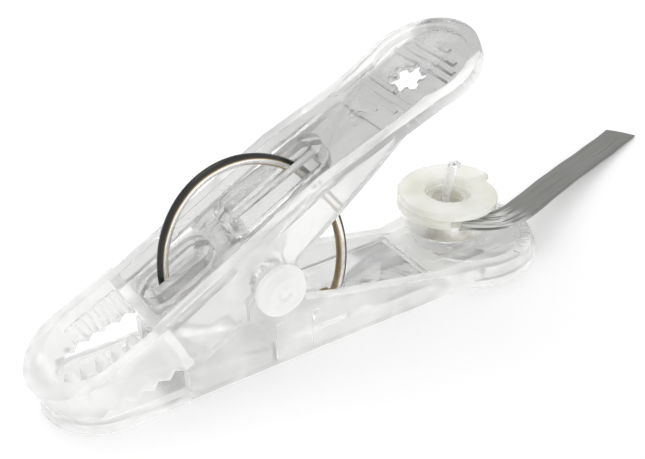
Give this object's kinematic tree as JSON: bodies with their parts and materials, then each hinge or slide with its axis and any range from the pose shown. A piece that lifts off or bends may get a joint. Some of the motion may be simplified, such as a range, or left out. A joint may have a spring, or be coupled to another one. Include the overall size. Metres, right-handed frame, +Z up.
{
  "type": "clothespin",
  "caption": "Clear plastic spring clothespin with toothed jaws, an oval ring spring, a lobed thumb pad and a strap held on its tail under a round button.",
  "frame": {"origin": "the point of the resting plane straight under the pivot axis", "axes": "+X from the jaws to the tail, +Y along the pivot roller, +Z up"},
  "size_m": [0.1204, 0.0271, 0.0397],
  "materials": {
    "clear_plastic": "clear, glossy",
    "milky_plastic": "milky, glossy",
    "spring_wire": "polished",
    "sleeve_metal": "polished",
    "button_plastic": "milky, glossy",
    "post_plastic": "clear, glossy",
    "strap_band": "satin, flat band"
  },
  "bodies": {
    "lower_frame": {"lower_lever": "clear_plastic", "pivot_roller": "milky_plastic", "button_post": "post_plastic"},
    "upper_arm": {"upper_lever": "clear_plastic"},
    "spring": {"ring_spring": "spring_wire"},
    "sleeve": {"strap_sleeve": "sleeve_metal"},
    "strap_wrap": {"strap_button": "button_plastic", "button_hub": "button_plastic", "strap": "strap_band"}
  },
  "joints": [
    {"name": "lever_hinge", "type": "hinge", "parent": "lower_frame", "child": "upper_arm", "pos_m": [0, 0, 0.0132], "axis": [0, 1, 0], "range_deg": [0, 25], "stiffness_Nm_per_rad": 0.08, "springref_deg": -17.19},
    {"name": "spring_swing", "type": "hinge", "parent": "upper_arm", "child": "spring", "pos_m": [-0.01277, 0, 0.01243], "axis": [0, 1, 0], "range_deg": [-12.76, 0]},
    {"name": "sleeve_spin", "type": "hinge", "parent": "lower_frame", "child": "sleeve", "pos_m": [0.0378, 0.0033, 0.0054], "axis": [0, 0, 1], "continuous": true},
    {"name": "strap_swivel", "type": "hinge", "parent": "lower_frame", "child": "strap_wrap", "pos_m": [0.0378, 0.0033, 0.008], "axis": [0, 0, 1], "range_deg": [-60, 60]}
  ],
  "couplings": [
    {"joint": "spring_swing", "follows": "lever_hinge", "ratio": -0.51}
  ]
}
